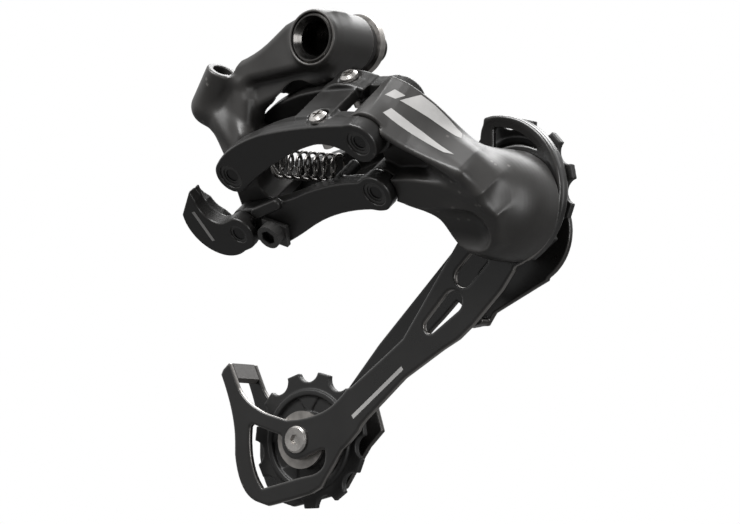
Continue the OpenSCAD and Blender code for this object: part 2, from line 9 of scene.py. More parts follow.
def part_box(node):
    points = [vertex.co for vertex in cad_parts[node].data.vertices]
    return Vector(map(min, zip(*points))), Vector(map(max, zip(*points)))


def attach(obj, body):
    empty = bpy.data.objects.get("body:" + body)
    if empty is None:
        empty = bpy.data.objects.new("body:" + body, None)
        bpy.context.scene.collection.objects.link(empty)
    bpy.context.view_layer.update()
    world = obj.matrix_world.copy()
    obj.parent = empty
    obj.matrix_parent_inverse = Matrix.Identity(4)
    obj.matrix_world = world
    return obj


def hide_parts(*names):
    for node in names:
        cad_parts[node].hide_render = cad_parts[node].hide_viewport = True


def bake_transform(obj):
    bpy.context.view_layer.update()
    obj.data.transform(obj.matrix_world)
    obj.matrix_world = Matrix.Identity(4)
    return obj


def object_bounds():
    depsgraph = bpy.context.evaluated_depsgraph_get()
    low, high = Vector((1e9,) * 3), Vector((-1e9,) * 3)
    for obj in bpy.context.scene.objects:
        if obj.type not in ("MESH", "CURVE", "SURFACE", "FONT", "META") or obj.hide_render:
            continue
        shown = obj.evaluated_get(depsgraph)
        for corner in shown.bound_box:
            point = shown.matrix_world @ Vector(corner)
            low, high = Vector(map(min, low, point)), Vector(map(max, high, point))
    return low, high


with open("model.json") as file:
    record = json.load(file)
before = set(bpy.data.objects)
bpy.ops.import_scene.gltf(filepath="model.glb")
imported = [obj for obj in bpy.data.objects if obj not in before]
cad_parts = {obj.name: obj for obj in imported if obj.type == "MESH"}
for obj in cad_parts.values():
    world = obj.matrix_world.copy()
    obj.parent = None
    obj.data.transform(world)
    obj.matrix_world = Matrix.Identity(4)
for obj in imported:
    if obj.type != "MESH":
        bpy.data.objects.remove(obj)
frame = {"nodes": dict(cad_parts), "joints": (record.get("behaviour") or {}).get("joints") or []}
cad_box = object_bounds()

MM = 0.001
joints = {j["name"]: j for j in frame["joints"]}


# ---------------------------------------------------------------- places, all from the frame
def joint_mm(name):
    """Where a joint is in the row frame, in millimetres."""
    return np.array(joints[name]["pos_m"]) / MM


PIN_AXIS = np.array(joints["upper_link_swing"]["axis"], float)
PIN_AXIS /= np.linalg.norm(PIN_AXIS)
PIN_MIDDLE = 13.7
UPPER_REAR = joint_mm("upper_link_swing") - PIN_MIDDLE * PIN_AXIS
ALONG = joint_mm("knuckle_swing") - joint_mm("upper_link_swing")
LINK = float(np.linalg.norm(ALONG))
ALONG /= LINK
ACROSS = np.cross(PIN_AXIS, ALONG)
SLANT = np.stack([ALONG, ACROSS, PIN_AXIS], 1)

UR = np.array([LINK, 0.0])
LL = ((joint_mm("lower_link_swing") - joint_mm("upper_link_swing")) @ SLANT)[:2]
LR = LL + UR
CAGE_PIVOT = joint_mm("cage_swing")
GUIDE = joint_mm("guide_pulley_spin")
TENSION = joint_mm("tension_pulley_spin")
PIVOT_XZ = CAGE_PIVOT[[0, 2]]
GUIDE_XZ = GUIDE[[0, 2]]
TENSION_XZ = TENSION[[0, 2]]

PINS = (0, 0, 1)             # along the link pins, in the linkage frame
INBOARD = (0, 1, 0)
PLATE_NEAR = (-0.6, 5.0)     # levels of the two plates of a link
PLATE_FAR = (22.4, 28.0)
OUTER_Y = (2.5, 4.5)         # levels of the two cage plates
INNER_Y = (15.5, 17.5)


def slanted(p):
    """Points of the row frame, in the linkage frame: along the link, across it, along the pins."""
    return (p - UPPER_REAR.astype(np.float32)) @ SLANT.astype(np.float32)


def at(x, y, z):
    """A point of the linkage frame, in the row frame."""
    return UPPER_REAR + SLANT @ np.array([x, y, z])


# ---------------------------------------------------------------- outlines
def bez(a, b, c, n=10):
    """Points of a curve from a to c that leans toward b."""
    a, b, c = (np.array(q, float) for q in (a, b, c))
    return [(1 - t) ** 2 * a + 2 * t * (1 - t) * b + t * t * c for t in np.linspace(0, 1, n + 1)]


def arc(centre, r, a0, a1, n=16):
    """Points of a round stretch between two angles in degrees."""
    turn = np.radians(np.linspace(a0, a1, n + 1))
    return [np.array([centre[0] + r * math.cos(a), centre[1] + r * math.sin(a)]) for a in turn]


def smooth_path(points, n):
    """A smooth curve through given points."""
    pts = np.array(points, float)
    pts = np.vstack([2 * pts[0] - pts[1], pts, 2 * pts[-1] - pts[-2]])
    out = []
    for a, b, c, d in zip(pts, pts[1:], pts[2:], pts[3:]):
        for t in np.linspace(0, 1, n, endpoint=False):
            out.append(0.5 * (2 * b + (c - a) * t + (2 * a - 5 * b + 4 * c - d) * t * t
                              + (3 * b - a - 3 * c + d) * t ** 3))
    out.append(pts[-2])
    return np.array(out)


def bar(a, ra, b, rb, n=16):
    """Outline of a flat bar between two round ends."""
    a, b = np.array(a, float), np.array(b, float)
    ang = math.degrees(math.atan2(b[1] - a[1], b[0] - a[0]))
    t = math.degrees(math.acos((ra - rb) / np.linalg.norm(b - a)))
    return arc(a, ra, ang + t, ang + 360 - t, n) + arc(b, rb, ang - t, ang + t, n)


# ---------------------------------------------------------------- solids as distance functions
def outline(x, y, points):
    """Signed distance to a closed outline."""
    pts = np.array(points, np.float32)
    best = np.full(x.shape, 1e9, np.float32)
    inside = np.zeros(x.shape, bool)
    for (ax, ay), (bx, by) in zip(pts, np.roll(pts, -1, 0)):
        ex, ey = bx - ax, by - ay
        length = ex * ex + ey * ey
        if length < 1e-9:
            continue
        wx, wy = x - ax, y - ay
        t = np.clip((wx * ex + wy * ey) / length, 0, 1)
        best = np.minimum(best, (wx - ex * t) ** 2 + (wy - ey * t) ** 2)
        if ay != by:
            inside ^= ((ay > y) != (by > y)) & (x < ex * (y - ay) / ey + ax)
    return np.sqrt(best) * np.where(inside, -1, 1).astype(np.float32)


def prism(flat, level, low, high, edge=0.4):
    """An outline between two levels, with rounded edges."""
    a = flat + edge
    b = np.abs(level - (low + high) / 2) - (high - low) / 2 + edge
    return np.minimum(np.maximum(a, b), 0) + np.hypot(np.maximum(a, 0), np.maximum(b, 0)) - edge


def loft(q, near, far, low, high, edge=0.4):
    """A solid whose outline changes evenly from the near level to the far one."""
    t = np.clip((q[..., 2] - low) / (high - low), 0, 1)
    near, far = np.array(near, np.float32), np.array(far, np.float32)
    best = np.full(t.shape, 1e9, np.float32)
    inside = np.zeros(t.shape, bool)
    x, y = q[..., 0], q[..., 1]
    for a0, a1, b0, b1 in zip(near, far, np.roll(near, -1, 0), np.roll(far, -1, 0)):
        ax, ay = a0[0] + (a1[0] - a0[0]) * t, a0[1] + (a1[1] - a0[1]) * t
        bx, by = b0[0] + (b1[0] - b0[0]) * t, b0[1] + (b1[1] - b0[1]) * t
        ex, ey = bx - ax, by - ay
        wx, wy = x - ax, y - ay
        along = np.clip((wx * ex + wy * ey) / np.maximum(ex * ex + ey * ey, 1e-9), 0, 1)
        best = np.minimum(best, (wx - ex * along) ** 2 + (wy - ey * along) ** 2)
        crosses = ((ay > y) != (by > y)) & (x < ex * (y - ay) / np.where(by == ay, 1, ey) + ax)
        inside ^= crosses
    flat = np.sqrt(best) * np.where(inside, -1, 1).astype(np.float32)
    return prism(flat, q[..., 2], low, high, edge)


def taper(p, a, b, ra, rb):
    """A rod with round ends whose radius changes evenly."""
    a, b = np.array(a, np.float32), np.array(b, np.float32)
    d = b - a
    t = np.clip(((p - a) @ d) / (d @ d), 0, 1)
    return np.linalg.norm(p - a - t[..., None] * d, axis=-1) - (ra + (rb - ra) * t)


def rod(p, centre, axis, r, low, high, edge=0.3):
    """A cylinder about a line, between two stations along it."""
    axis = np.array(axis, np.float32) / np.float32(np.linalg.norm(axis))
    w = p - np.array(centre, np.float32)
    s = w @ axis
    return prism(np.linalg.norm(w - s[..., None] * axis, axis=-1) - r, s, low, high, edge)


def slab(p, normal, offset):
    """Everything behind a plane."""
    normal = np.array(normal, np.float32)
    return p @ (normal / np.float32(np.linalg.norm(normal))) - offset


def join(a, b, k=0.0):
    """Both solids as one, with a fillet about k wide."""
    if k <= 0:
        return np.minimum(a, b)
    h = np.maximum(k - np.abs(a - b), 0) / k
    return np.minimum(a, b) - h * h * k / 4


def meet(a, b, k=0.0):
    """What two solids share."""
    return -join(-a, -b, k)


def cut(a, b, k=0.0):
    """The first solid without the second."""
    return meet(a, -b, k)


# ---------------------------------------------------------------- distance function to mesh
BLOCK = 6             # grid cells on a side of one coarse block
AT_ONCE = 400000      # grid points worked out in one go
BOX_PAD = 1.0         # room left round a box that a piece is built in
CORNERS = np.array([(i, j, k) for i in (0, 1) for j in (0, 1) for k in (0, 1)])


def shifted(grid, corner):
    """The values of a grid at one corner of every cell, as a view."""
    i, j, k = corner
    nx, ny, nz = (n - 1 for n in grid.shape)
    return grid[i:nx + i, j:ny + j, k:nz + k]


def sample(solid, low, size, step):
    """Values of a solid on a grid. Only the blocks near its surface are worked out in full."""
    centres = np.stack(np.meshgrid(*[np.arange(s) + 0.5 for s in size], indexing="ij"), -1)
    rough = solid((low + centres * BLOCK * step).astype(np.float32).reshape(-1, 3)).reshape(size)
    near = np.abs(rough) < BLOCK * step * 1.05
    value = np.where(rough < 0, -9, 9).astype(np.float32)
    for axis in range(3):
        value, near = value.repeat(BLOCK, axis), near.repeat(BLOCK, axis)
    value = np.pad(value, ((0, 1),) * 3, mode="edge")
    wanted = np.zeros(value.shape, bool)
    for corner in CORNERS:
        view = shifted(wanted, corner)
        view |= near
    where = np.argwhere(wanted)
    for part in np.array_split(where, max(1, len(where) // AT_ONCE)):
        value[tuple(part.T)] = solid((low + part * step).astype(np.float32))
    return value


def crossings(value, cells):
    """The middle of the places where the surface crosses the edges of each cell, in grid steps."""
    v = np.stack([value[tuple((cells + c).T)] for c in CORNERS], 1)
    total = np.zeros((len(cells), 3))
    hits = np.zeros(len(cells))
    for a in range(8):
        for b in range(a + 1, 8):
            if abs(CORNERS[a] - CORNERS[b]).sum() != 1:
                continue
            crossing = (v[:, a] < 0) != (v[:, b] < 0)
            t = np.where(crossing, v[:, a] / np.where(crossing, v[:, a] - v[:, b], 1), 0)
            total += np.where(crossing[:, None], CORNERS[a] + t[:, None] * (CORNERS[b] - CORNERS[a]), 0)
            hits += crossing
    return cells + total / hits[:, None]


def quads(inside, number):
    """One quad across each grid edge that goes through the surface, facing out."""
    n = inside.shape
    faces = []
    for axis in range(3):
        u, w = (axis + 1) % 3, (axis + 2) % 3
        first = [slice(None)] * 3
        second = [slice(None)] * 3
        first[axis], second[axis] = slice(0, -1), slice(1, None)
        edge = np.argwhere(inside[tuple(first)] != inside[tuple(second)])
        edge = edge[(edge[:, u] > 0) & (edge[:, w] > 0) & (edge[:, u] < n[u] - 1) & (edge[:, w] < n[w] - 1)]
        eu, ew = np.eye(3, dtype=int)[u], np.eye(3, dtype=int)[w]
        quad = np.stack([number[tuple((edge - o).T)] for o in (eu + ew, ew, 0 * eu, eu)], 1)
        out = inside[tuple(edge.T)]
        faces.append(np.where(out[:, None], quad, quad[:, ::-1]))
    return np.concatenate(faces)


def settle(solid, points, step):
    """Moves points along the slope of a solid, onto its surface."""
    p = points.astype(np.float32)
    h = np.float32(0.05)
    sides = h * np.eye(3, dtype=np.float32)
    grad = np.stack([solid(p + side) - solid(p - side) for side in sides], 1) / (2 * h)
    scale = np.maximum((grad ** 2).sum(1), 0.25)
    shift = -(solid(p) / scale)[:, None] * grad
    return points + np.clip(shift, -0.4 * step, 0.4 * step)


def surface(solid, low, high, step):
    """Vertices and quads of the surface of a solid inside a box, in millimetres."""
    low = np.array(low, float)
    size = np.ceil((np.array(high, float) - low) / (step * BLOCK)).astype(int)
    value = sample(solid, low, size, step)
    inside = value < 0
    count = sum(shifted(inside, corner).astype(np.int8) for corner in CORNERS)
    cells = np.argwhere((count > 0) & (count < 8))
    number = np.full(count.shape, -1, np.int64)
    number[tuple(cells.T)] = np.arange(len(cells))
    points = low + crossings(value, cells) * step
    for _ in range(2):
        points = settle(solid, points, step)
    return points, quads(inside, number)


def new_mesh(name, points, faces):
    """A smooth-shaded mesh object from points in millimetres."""
    mesh = bpy.data.meshes.new(name)
    mesh.from_pydata((np.asarray(points) * MM).tolist(), [], [[int(i) for i in f] for f in faces])
    mesh.validate()
    mesh.polygons.foreach_set("use_smooth", [True] * len(mesh.polygons))
    mesh.update()
    obj = bpy.data.objects.new(name, mesh)
    bpy.context.scene.collection.objects.link(obj)
    return obj


def carve(name, solid, node, body, material, step=0.42):
    """Builds a piece from a distance function in the box of the CAD node that it stands for."""
    low, high = (np.array(corner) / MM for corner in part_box(node))
    obj = new_mesh(name, *surface(solid, low - BOX_PAD, high + BOX_PAD, step))
    obj.data.materials.append(material)
    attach(obj, body)
    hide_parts(node)
    return obj


# ---------------------------------------------------------------- materials
def node_material(name):
    """A new material and the parts needed to wire it."""
    mat = bpy.data.materials.new(name)
    mat.use_nodes = True
    nodes = mat.node_tree.nodes
    return mat, nodes, mat.node_tree.links, nodes["Principled BSDF"]


def ramp(nodes, links, fac, stops):
    """The colour that a value gets from a few stops."""
    r = nodes.new("ShaderNodeValToRGB")
    r.color_ramp.elements[0].position, r.color_ramp.elements[0].color = stops[0]
    r.color_ramp.elements[1].position, r.color_ramp.elements[1].color = stops[-1]
    for position, colour in stops[1:-1]:
        r.color_ramp.elements.new(position).color = colour
    links.new(fac, r.inputs["Fac"])
    return r.outputs["Color"]


def grey(v, warm=0.0):
    """A grey, a little warmer than neutral if asked."""
    return (v * (1 + warm), v, v * (1 - warm), 1)


def maths(nodes, links, operation, first, second=None):
    """A math node on an output and a number or another output."""
    node = nodes.new("ShaderNodeMath")
    node.operation = operation
    links.new(first, node.inputs[0])
    if isinstance(second, float):
        node.inputs[1].default_value = second
    elif second is not None:
        links.new(second, node.inputs[1])
    return node.outputs[0]


def split(nodes, links, vector):
    """The X, Y and Z of a vector."""
    parts = nodes.new("ShaderNodeSeparateXYZ")
    links.new(vector, parts.inputs[0])
    return parts.outputs


def noise(nodes, links, vector, scale, detail):
    """Cloudy noise at a place."""
    tex = nodes.new("ShaderNodeTexNoise")
    tex.inputs["Scale"].default_value = scale
    tex.inputs["Detail"].default_value = detail
    links.new(vector, tex.inputs["Vector"])
    return tex.outputs["Fac"]


def painted(nodes, links, mask, under, colour):
    """A colour laid over another where a mask is 1."""
    mix = nodes.new("ShaderNodeMix")
    mix.data_type = "RGBA"
    links.new(mask, mix.inputs["Factor"])
    links.new(under, mix.inputs["A"])
    mix.inputs["B"].default_value = colour
    return mix.outputs["Result"]


def relief(nodes, links, height, strength, depth_mm, bsdf):
    """Shallow bumps from a height."""
    bump = nodes.new("ShaderNodeBump")
    bump.inputs["Strength"].default_value = strength
    bump.inputs["Distance"].default_value = depth_mm * MM
    links.new(height, bump.inputs["Height"])
    links.new(bump.outputs["Normal"], bsdf.inputs["Normal"])


EDGE_HIGHLIGHT_TOP = -64.0    # height below which the pressed edges of the cage get a painted highlight


def side_mask(nodes, links, place, deepest_mm):
    """1 on faces that look sideways from a plate that lies across Y, down to a given depth."""
    facing = maths(nodes, links, "ABSOLUTE", split(nodes, links, place.outputs["Normal"])["Y"])
    sideways = ramp(nodes, links, facing, [(0.35, grey(1)), (0.75, grey(0))])
    where = split(nodes, links, place.outputs["Object"])
    shallow = maths(nodes, links, "LESS_THAN", where["Y"], deepest_mm * MM)
    below = maths(nodes, links, "LESS_THAN", where["Z"], EDGE_HIGHLIGHT_TOP * MM)
    return maths(nodes, links, "MULTIPLY", maths(nodes, links, "MULTIPLY", sideways, shallow), below)


def coated(name, tone, rough, grain_mm=0.35, bump=0.12, edge_wear_and_highlight=0.35, metal=0.0, coat=0.0, spec=0.5, warm=0.02,
           cut_edge_highlight=0.0, cut_depth=0.0):
    """Painted or anodised surface: fine grain, cloudy gloss, convex edges painted lighter as part wear and
    part painted highlight, and cut plate edges given a painted highlight.
    """
    mat, nodes, links, bsdf = node_material(name)
    place = nodes.new("ShaderNodeTexCoord")
    fine = noise(nodes, links, place.outputs["Object"], 1 / (grain_mm * MM), 4)
    cloud = noise(nodes, links, place.outputs["Object"], 90, 5)
    geometry = nodes.new("ShaderNodeNewGeometry")
    edges = ramp(nodes, links, geometry.outputs["Pointiness"], [(0.52, grey(0)), (0.6, grey(1))])
    # convex edges found by pointiness are painted lighter: part wear, part a painted highlight of the edge
    # lines
    wear_and_highlight = maths(nodes, links, "MULTIPLY", edges, edge_wear_and_highlight)
    colour = ramp(nodes, links, cloud, [(0.3, grey(tone * 0.85, warm)), (0.7, grey(tone * 1.15, warm))])
    colour = painted(nodes, links, wear_and_highlight, colour, grey(min(0.5, tone * 5 + 0.06), warm))
    # sideways faces of the plates below a set height are painted lighter grey as a painted highlight of the
    # edge lines, and made metallic
    if cut_edge_highlight:
        mask = side_mask(nodes, links, place, cut_depth)
        colour = painted(nodes, links, mask, colour, grey(cut_edge_highlight, warm))
        links.new(mask, bsdf.inputs["Metallic"])
    else:
        bsdf.inputs["Metallic"].default_value = metal
    links.new(colour, bsdf.inputs["Base Color"])
    gloss = ramp(nodes, links, cloud, [(0.3, grey(rough * 0.85)), (0.7, grey(min(1, rough * 1.15)))])
    links.new(gloss, bsdf.inputs["Roughness"])
    relief(nodes, links, fine, bump, 0.02, bsdf)
    bsdf.inputs["Specular IOR Level"].default_value = spec
    bsdf.inputs["Coat Weight"].default_value = coat
    bsdf.inputs["Coat Roughness"].default_value = 0.25
    return mat


def bare(name, tone, rough, warm=0.02, streak=(1, 14, 1), bump=0.15):
    """Bare or plated metal with drawn marks and cloudy gloss."""
    mat, nodes, links, bsdf = node_material(name)
    place = nodes.new("ShaderNodeTexCoord")
    stretch = nodes.new("ShaderNodeMapping")
    stretch.inputs["Scale"].default_value = streak
    links.new(place.outputs["Object"], stretch.inputs["Vector"])
    lines = noise(nodes, links, stretch.outputs["Vector"], 500, 3)
    cloud = noise(nodes, links, place.outputs["Object"], 240, 4)
    tones = [(0.3, grey(tone * 0.7, warm)), (0.7, grey(min(1, tone * 1.15), warm))]
    links.new(ramp(nodes, links, cloud, tones), bsdf.inputs["Base Color"])
    gloss = ramp(nodes, links, lines, [(0.3, grey(rough * 0.7)), (0.7, grey(min(1, rough * 1.3)))])
    links.new(gloss, bsdf.inputs["Roughness"])
    relief(nodes, links, lines, bump, 0.015, bsdf)
    bsdf.inputs["Metallic"].default_value = 1
    return mat


# the worn amount sets how much lighter convex edges are painted, as part wear and part painted highlight
CAST = coated("cast_black", 0.019, 0.44, spec=0.5, warm=0.06)
LINKS = coated("link_black", 0.008, 0.36, spec=0.45, warm=0.05)
ANODISED = {"grain_mm": 0.2, "bump": 0.04, "edge_wear_and_highlight": 0.8, "coat": 0.2, "warm": 0.05}
# cut edges of the cage plates get a painted highlight, stronger on the outer plate than on the inner one
CAGE = coated("cage_black", 0.007, 0.3, cut_edge_highlight=0.24, cut_depth=4.4, **ANODISED)
CAGE_BACK = coated("cage_back_black", 0.007, 0.3, cut_edge_highlight=0.09, cut_depth=30, **ANODISED)
ALLOY = bare("black_alloy", 0.1, 0.24, warm=0.04, bump=0.05)
BLACKENED = coated("dark_steel", 0.012, 0.3, metal=0.3)
PLASTIC = coated("black_plastic", 0.008, 0.5, edge_wear_and_highlight=0.1, warm=0.03)
STEEL = bare("bright_steel", 0.55, 0.3, warm=0.04)
DULL = bare("dull_steel", 0.36, 0.42, warm=0.05, streak=(1, 1, 1))
WIRE = bare("spring_steel", 0.2, 0.28, warm=0.04)
BRONZE = bare("bronze_bush", 0.3, 0.35, warm=0.25)
PRINT = coated("print_grey", 0.3, 0.6, edge_wear_and_highlight=0.0, grain_mm=0.2)

# ---------------------------------------------------------------- lower knuckle
SEAT = 5.3        # inboard limit of the near link plates, with running clearance
SEAT_FAR = 22.1   # outboard limit of the far link plates
HANGER_R = 8      # bore of the upper knuckle, for its bushing
SHAFT_R = 6       # bore of the lower knuckle, for its bushing
LINK_EYE_R = 4.1  # bore of the link eyes, for their bushes


def revolve_y(p, centre_xz, half):
    """A shape turned about a line along Y, from its half outline of [radius, y] points."""
    r = np.hypot(p[..., 0] - centre_xz[0], p[..., 2] - centre_xz[1])
    full = [np.array(q, float) for q in half]
    full += [np.array((-q[0], q[1])) for q in full[::-1]]
    return outline(r, p[..., 1], full)


DOME = ([(0, 1.9), (16.7, 1.9), (17.2, 1.3)] + bez((17.2, -4), (17, -12.5), (12.5, -17.5))
        + bez((12.5, -17.5), (8, -21.8), (0, -22.2)))
NECK_NEAR = ([(57, -6), (60, -7)]
             + list(smooth_path([(63.4, -5.4), (67, -0.8), (73, 6.3), (80, 12.2), (85, 16.4),
                                 (88.6, 19.4)], 3))
             + [(88, 21.6), (84, 18), (79, 13.6), (72, 7.6), (66.6, 2), (57, -2)])
NECK_FAR = ([(57, -6), (60, -8.4)]
            + list(smooth_path([(65, -9.4), (70, -5), (75.2, 3.2), (78.6, 12), (80.4, 17), (81.8, 21)], 3))
            + [(83, 27), (79, 30), (74, 28), (68, 20), (61, 13), (56, 6)])
HORN = ([(55, 15), (58, 14.8)] + bez((61, 15.6), (80, 18.4), (88.7, 29.4), 8)
        + [(93.4, 35.4), (88, 44), (80, 46)] + bez((75, 44.6), (66, 28), (57.5, 23.2), 8))
SADDLE = [(72.6, 9), (79, 13.4), (88, 18.4), (93, 27), (91, 31), (82, 25), (72.4, 19.4)]
SADDLE_START, SADDLE_SLOPE = 73, 0.35
WEB = [(57, 4), (64, 0), (74, 10), (82, 20), (72, 24), (62, 20), (55, 13)]
VALLEY = ((74, 15.4, -0.5), (86, 23.6, -4), 2.2, 4)             # ends and radii
SCOOP = ((57, 30.6, -6.6), (80.6, 37.4, -4.2), 10.7, 9.2)
SPRING_ROOM = [(7.4, -9.6), (13.6, -9.6), (13.6, 3), (7.4, 3)]   # radius and Y, round the cage shaft


def link_room(q, pivot, seat_r, far_end, far_r):
    """Room that the two plates of a link need beside a knuckle."""
    flat = outline(q[..., 0], q[..., 1], bar(pivot, seat_r, far_end, far_r))
    return join(prism(flat, q[..., 2], -12, SEAT, 0.1), prism(flat, q[..., 2], SEAT_FAR, 45, 0.1))


def p_knuckle(p):
    """The lower knuckle: a neck and a horn that run into the domed spring housing."""
    q = slanted(p)
    x, y, z = q[..., 0], q[..., 1], q[..., 2]
    neck = loft(q, NECK_NEAR, NECK_FAR, 3, 22, 0.8)
    horn = prism(outline(x, y, HORN), z, 2.3, 20, 0.9)
    web = prism(outline(x, y, WEB), z, 9.5, 21, 0.5)
    saddle = prism(outline(x, y, SADDLE), z + SADDLE_SLOPE * (x - SADDLE_START), 7.5, 21, 3.5)
    solid = join(revolve_y(p, PIVOT_XZ, DOME), neck, 7)
    solid = join(solid, horn, 3.5)
    solid = join(join(solid, saddle, 5.5), web, 1)
    solid = cut(solid, taper(q, *VALLEY), 3)
    solid = cut(solid, taper(q, *SCOOP), 0.5)
    lugs = join(rod(q, (*UR, 0), PINS, 7.6, SEAT, SEAT_FAR), rod(q, (*LR, 0), PINS, 5.7, SEAT, SEAT_FAR))
    solid = join(cut(solid, link_room(q, UR, 7.0, (20, 0), 14), 0.3), lugs, 0.8)
    solid = cut(solid, link_room(q, LR, 6.5, (20, 14), 14), 0.3)
    r = np.hypot(p[..., 0] - PIVOT_XZ[0], p[..., 2] - PIVOT_XZ[1])
    solid = cut(solid, outline(r, p[..., 1], SPRING_ROOM))
    return cut(solid, rod(p, CAGE_PIVOT, INBOARD, SHAFT_R, -16, 5, 0))


# ---------------------------------------------------------------- upper knuckle
STOP_TOP = np.array([-37.8, -22, -7.0])
STOP_AXIS = np.array([0.53, -0.18, 0.83])
STOP_AXIS /= np.linalg.norm(STOP_AXIS)
ANGLE_SCREW, SCREW_WAY = (0, -6.2, -13), (1, 0, 0)

ARM_TOP = bez((6, 8), (-4, 9.6), (-13, 5.6), 6) + bez((-18, 2), (-25, -3.4), (-34.6, -5.2), 6)
STOP_ARM = ARM_TOP + [(-37, -12), (-30, -13.6)] + bez((-26, -11.4), (-14, -10.4), (-2, -8.6), 5) + [(6, -4)]
BRACE = ([(4, -6), (3, -12.6)] + bez((-2, -14), (-12, -14.6), (-18, -17.2), 6)
         + bez((-23, -18.8), (-28, -20.6), (-31, -25.5), 6) + [(-38, -24), (-37, -14), (-30, -10), (-14, -5)])
LEG = ([(-38, -8), (-46.5, -16)] + bez((-48.5, -19.4), (-46, -22.6), (-42, -27), 6)
       + [(-36.4, -37), (-29.5, -34), (-27.6, -25), (-27, -17), (-29, -10)])

BOSS = [(0, -25.5), (8.7, -25.5), (9.1, -24), (9.2, -21), (9.2, -5.3), (0, -5.3)]   # radius and Y


def b_knuckle(p):
    """The upper knuckle: hanger boss, arm, housing stop and a leg with the rear lugs of the links."""
    q = slanted(p)
    x, y, z = q[..., 0], q[..., 1], q[..., 2]
    px, py, pz = p[..., 0], p[..., 1], p[..., 2]
    boss = revolve_y(p, (0, 0), BOSS)
    arm = prism(outline(px, pz, STOP_ARM), py, -23, -14, 2.6)
    brace = prism(outline(px, pz, BRACE), py, -19.4, -11, 2.2)
    arm = join(arm, brace, 1.6)
    solid = join(boss, arm, 3)
    stop = taper(p, STOP_TOP + 3 * STOP_AXIS, STOP_TOP - 13 * STOP_AXIS, 4.8, 6)
    stop = meet(stop, slab(p, STOP_AXIS, float(STOP_TOP @ STOP_AXIS)), 0.9)
    solid = join(solid, stop, 2.5)
    leg = prism(outline(px, pz, LEG), py, -22.6, -12.4, 2.8)
    leg = join(leg, taper(p, (-44.4, -19, -17.8), at(0, -6, 12), 4.9, 4.8), 1.5)
    leg = cut(leg, taper(p, (-37, -26.4, -13), (-31.4, -27.6, -34), 4.6, 3.4), 1.6)
    lugs = outline(x, y, bar((0, 0), 5.6, LL, 5.6))
    lugs = join(lugs, outline(x, y, [(-4, 0), (1, 18), (5, 14), (5, 0)]))
    lugs = cut(lugs, np.hypot(x - 7.4, y - 9) - 5.2, 0.5)
    leg = join(leg, prism(lugs, z, SEAT, SEAT_FAR, 0.6), 1.5)
    solid = join(solid, leg, 2)
    seat = rod(p, ANGLE_SCREW, SCREW_WAY, 3.2, -15, -7, 0.5)
    rib = taper(p, (-10, -8.4, -8), (-11, -7.4, -12), 2.2, 2.6)
    solid = join(solid, join(seat, rib, 1), 1)
    slot = taper(p, at(-1, -8.6, 3.6), at(-4.6, -9.6, 3.6), 1.5, 1.5)
    solid = cut(solid, slot, 0.3)
    room = outline(x, y, bar((0, 0), 7.5, (20, -6), 9))
    solid = cut(solid, prism(room, z, -3, SEAT, 0.1), 0.3)
    solid = cut(solid, prism(room, z, SEAT_FAR, 29, 0.1), 0.3)
    solid = cut(solid, rod(p, (0, 0, 0), INBOARD, HANGER_R + 0.1, -27, -22.4, 0), 0.2)
    solid = cut(solid, rod(p, (0, 0, 0), INBOARD, HANGER_R, -23, -4, 0))
    solid = cut(solid, rod(p, STOP_TOP, STOP_AXIS, 3.05, -9, 12, 0), 0.3)
    solid = cut(solid, rod(p, STOP_TOP, STOP_AXIS, 4.9, 0.05, 12, 0.2), 0.3)
    solid = cut(solid, rod(p, STOP_TOP, STOP_AXIS, 1, -26, 4, 0), 0.2)
    return cut(solid, rod(p, ANGLE_SCREW, SCREW_WAY, 1.65, -18, -3, 0))


# ---------------------------------------------------------------- links
UPPER = (bez((-4.2, -4.2), (4, -10.5), (22, -11.2)) + bez((22, -11.2), (40, -10.8), (61, -6.5))
         + [(60, 6.4)] + bez((57, 5.9), (50, -2.8), (42, -3.1)) + bez((42, -3.1), (26, -3.2), (2.6, 5.3)))
UPPER_FLANGE = bez((8, -8.2), (32, -14.2), (58, -6.7)) + bez((57, -4.2), (32, -9.8), (10, -5.4))
UPPER_WEB = [(36, -12), (50.5, -9.6), (50, -6.2), (36, -8)]
LOW_PAD = bez((33, -10), (42, -16.5), (53, -8.4)) + [(50, -5), (34, -5)]
SCREW_HIGH = (44, -4, 4.2)
SCREW_LOW = (44, -6, 23.6)
SCREW_HEAD_R, SCREW_R = 3.7, 2
LEAN = math.radians(14)
SCREW_AXIS = (math.sin(LEAN), -math.cos(LEAN), 0)


def upper_link(p):
    """Two plates joined by a web, with a flange and the pockets of the limit screws."""
    q = slanted(p)
    x, y, z = q[..., 0], q[..., 1], q[..., 2]
    side = join(outline(x, y, UPPER), np.hypot(x, y) - 5.9)
    side = join(side, np.hypot(x - UR[0], y) - 6.6, 1.5)
    solid = prism(side, z, *PLATE_NEAR, 0.7)
    solid = join(solid, prism(outline(x, y, UPPER_FLANGE), z, 1, 8.4, 0.7), 1)
    solid = join(solid, prism(side, z, *PLATE_FAR, 0.7))
    solid = join(solid, prism(outline(x, y, UPPER_WEB), z, 4, 23.6, 0.6), 1.6)
    solid = join(solid, prism(outline(x, y, LOW_PAD), z, 19, 28, 0.8), 1)
    for seat, depth in ((SCREW_HIGH, 5.2), (SCREW_LOW, 5.6)):
        solid = cut(solid, rod(q, seat, SCREW_AXIS, SCREW_HEAD_R, depth, 16, 0.2), 0.5)
        solid = cut(solid, rod(q, seat, SCREW_AXIS, SCREW_R, -6, 10, 0))
    for pivot in ((0, 0, 0), (*UR, 0)):
        solid = cut(solid, rod(q, pivot, PINS, LINK_EYE_R, -2, 30, 0), 0.25)
    return solid


